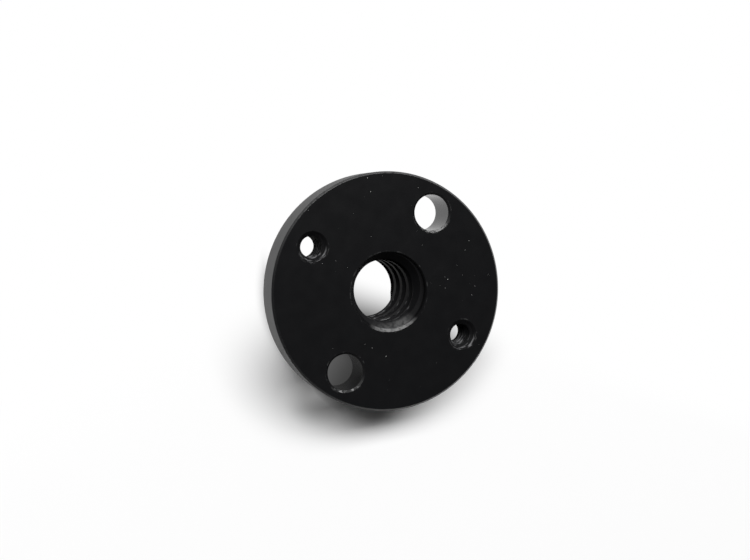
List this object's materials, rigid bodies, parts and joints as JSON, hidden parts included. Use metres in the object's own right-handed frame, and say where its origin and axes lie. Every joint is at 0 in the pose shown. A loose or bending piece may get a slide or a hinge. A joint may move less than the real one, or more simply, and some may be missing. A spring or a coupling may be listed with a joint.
{
  "type": "lead screw nut",
  "caption": "Round flange nut with a short boss and an internal trapezoidal thread that turns a lead screw's rotation into travel; its flange has plain and tapped fixing holes.",
  "frame": {"origin": "on the screw's axis, in the plane of the flange's seat face", "axes": "+Z along the screw's axis out of the flange's front face, +X through the clearance holes, +Y through the tapped holes"},
  "size_m": [0.025, 0.025, 0.009],
  "materials": {
    "black_acetal": "satin, machined"
  },
  "bodies": {
    "root": {"lead_screw_nut": "black_acetal"}
  },
  "joints": []
}
